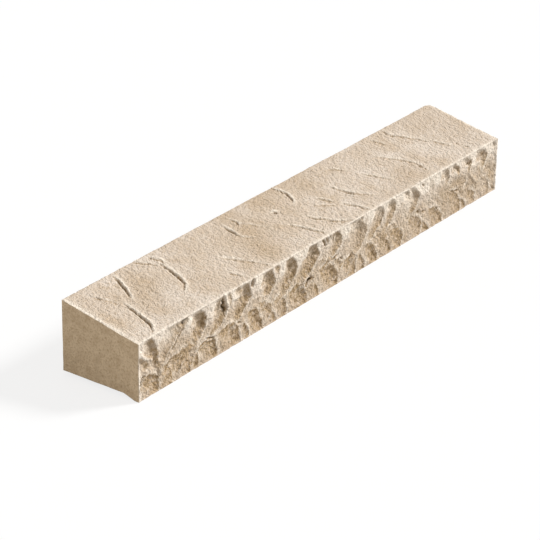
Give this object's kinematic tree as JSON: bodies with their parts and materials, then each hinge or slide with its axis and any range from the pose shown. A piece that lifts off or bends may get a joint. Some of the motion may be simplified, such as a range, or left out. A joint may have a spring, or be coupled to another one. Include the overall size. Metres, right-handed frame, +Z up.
{
  "type": "wainscot sill",
  "caption": "Cast-stone wainscot sill with a sloping top, a chiselled front face, a flat bed and a drip lip along the front.",
  "frame": {"origin": "under the middle of the sill, level with the underside of the drip lip", "axes": "+X along the wall, -Y out of the chiselled front face, +Y into the wall, +Z up"},
  "size_m": [0.508, 0.075, 0.0641],
  "materials": {
    "cast_stone": "matte"
  },
  "bodies": {
    "root": {"sill": "cast_stone"}
  },
  "joints": []
}
